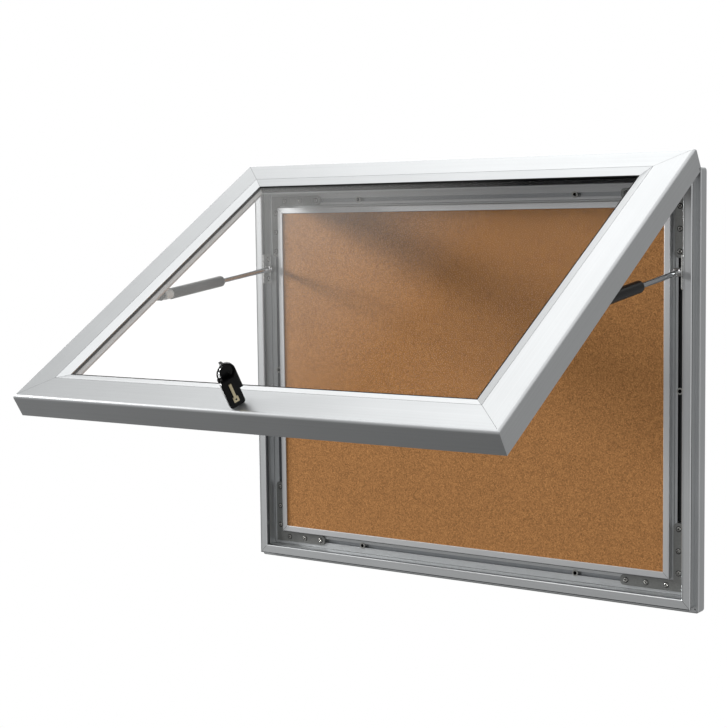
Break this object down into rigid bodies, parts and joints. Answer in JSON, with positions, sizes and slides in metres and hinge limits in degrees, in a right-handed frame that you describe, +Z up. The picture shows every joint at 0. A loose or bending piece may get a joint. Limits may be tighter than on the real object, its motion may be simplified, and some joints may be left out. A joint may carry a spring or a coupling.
{
  "type": "notice board",
  "caption": "Wall-mounted lockable notice board: shallow aluminium case with a framed cork panel and a top-hinged glazed door on gas struts.",
  "frame": {"origin": "centre of the case's rear face, at the centre of the wall fixing holes, on the wall", "axes": "+X to the right as seen from the front, +Y into the wall, +Z up"},
  "size_m": [1, 0.7453, 0.8252],
  "materials": {
    "anodised_aluminium": "satin anodised",
    "raw_aluminium": "mill",
    "trim_aluminium": "satin anodised",
    "back_sheet": "coated sheet",
    "fibre_board": "soft board",
    "cork": "matt cork",
    "bracket_steel": "zinc plated, dull",
    "bright_steel": "plated",
    "chrome": "polished",
    "black_paint": "semi gloss",
    "pale_plastic": "moulded",
    "black_plastic": "moulded",
    "black_rubber": "matt",
    "clear_pane": "clear",
    "brass": "satin"
  },
  "bodies": {
    "case": {"back_panel": "back_sheet", "board_bottom_trim": "trim_aluminium", "board_core": "fibre_board", "board_left_trim": "trim_aluminium", "board_right_trim": "trim_aluminium", "board_top_trim": "trim_aluminium", "case_bottom_profile": "anodised_aluminium", "case_corner_cleats": "raw_aluminium", "case_grub_screws": "bright_steel", "case_left_profile": "anodised_aluminium", "case_right_profile": "anodised_aluminium", "case_top_profile": "anodised_aluminium", "cork_panel": "cork", "corner_bracket_bottom_left": "bracket_steel", "corner_bracket_bottom_right": "bracket_steel", "corner_bracket_screws": "bright_steel", "corner_bracket_top_left": "bracket_steel", "corner_bracket_top_right": "bracket_steel", "strut_bracket_left": "bright_steel", "strut_bracket_right": "bright_steel", "strut_bracket_screws": "bright_steel", "strut_stud_left": "chrome", "strut_stud_right": "chrome", "wall_fixing_eyelets": "bright_steel"},
    "door": {"door_bottom_rail": "anodised_aluminium", "door_corner_cleats": "raw_aluminium", "door_left_stile": "anodised_aluminium", "door_pane": "clear_pane", "door_right_stile": "anodised_aluminium", "door_seal": "black_rubber", "door_strut_foot_left": "black_paint", "door_strut_foot_right": "black_paint", "door_strut_foot_screws": "bright_steel", "door_top_rail": "anodised_aluminium", "glazing_gasket": "black_rubber", "lock_barrel": "chrome", "lock_nut": "bright_steel"},
    "left_strut_rod": {"strut_rod_end_left": "chrome", "strut_rod_left": "chrome"},
    "right_strut_rod": {"strut_rod_end_right": "chrome", "strut_rod_right": "chrome"},
    "left_strut_cylinder": {"strut_collar_left": "pale_plastic", "strut_cylinder_left": "black_paint", "strut_eye_left": "black_paint"},
    "right_strut_cylinder": {"strut_collar_right": "pale_plastic", "strut_cylinder_right": "black_paint", "strut_eye_right": "black_paint"},
    "lock_cylinder": {"lock_cam": "bright_steel", "lock_cam_screw": "bright_steel", "lock_plug": "chrome"},
    "key": {"key_blade": "chrome", "key_head": "black_plastic"},
    "ring": {"key_ring": "black_plastic"},
    "spare_key": {"spare_key_head": "black_plastic"},
    "spare_blade": {"spare_key_blade": "brass"}
  },
  "joints": [
    {"name": "door_swing", "type": "hinge", "parent": "case", "child": "door", "pos_m": [0, -0.027, 0.3937], "axis": [1, 0, 0], "range_deg": [0, 58.08], "stiffness_Nm_per_rad": 32, "springref_deg": -65.89},
    {"name": "left_strut_pivot", "type": "hinge", "parent": "case", "child": "left_strut_rod", "pos_m": [-0.461, -0.0318, 0.2136], "axis": [1, 0, 0], "range_deg": [0, 85.61]},
    {"name": "left_strut_stroke", "type": "slide", "parent": "left_strut_rod", "child": "left_strut_cylinder", "axis": [0, -0.9922, -0.1246], "range_m": [-0.11233, 0]},
    {"name": "right_strut_pivot", "type": "hinge", "parent": "case", "child": "right_strut_rod", "pos_m": [0.461, -0.0318, 0.2136], "axis": [1, 0, 0], "range_deg": [0, 85.61]},
    {"name": "right_strut_stroke", "type": "slide", "parent": "right_strut_rod", "child": "right_strut_cylinder", "axis": [0, -0.9922, -0.1246], "range_m": [-0.11233, 0]},
    {"name": "lock_turn", "type": "hinge", "parent": "door", "child": "lock_cylinder", "pos_m": [0.002, -0.68071, 0.00534], "axis": [0, -0.5287, 0.8488], "range_deg": [0, 90]},
    {"name": "key_withdraw", "type": "slide", "parent": "lock_cylinder", "child": "key", "axis": [0, -0.5287, 0.8488], "range_m": [0, 0.028]},
    {"name": "ring_swing", "type": "hinge", "parent": "key", "child": "ring", "pos_m": [0.00553, -0.73809, 0.08529], "axis": [-0.4726, -0.748, -0.466], "range_deg": [0, 15]},
    {"name": "spare_key_swing", "type": "hinge", "parent": "ring", "child": "spare_key", "pos_m": [-0.00104, -0.73728, 0.06082], "axis": [0, 0.5287, -0.8488], "range_deg": [0, 20]},
    {"name": "spare_blade_fold", "type": "hinge", "parent": "spare_key", "child": "spare_blade", "pos_m": [0.01167, -0.71429, 0.03013], "axis": [0.8813, -0.4011, -0.2499], "range_deg": [0, 90]}
  ],
  "couplings": [
    {"joint": "left_strut_pivot", "follows": "door_swing", "ratio": 1.4722},
    {"joint": "left_strut_stroke", "follows": "door_swing", "m_per_rad": -0.11072},
    {"joint": "right_strut_pivot", "follows": "door_swing", "ratio": 1.4722},
    {"joint": "right_strut_stroke", "follows": "door_swing", "m_per_rad": -0.11072}
  ]
}
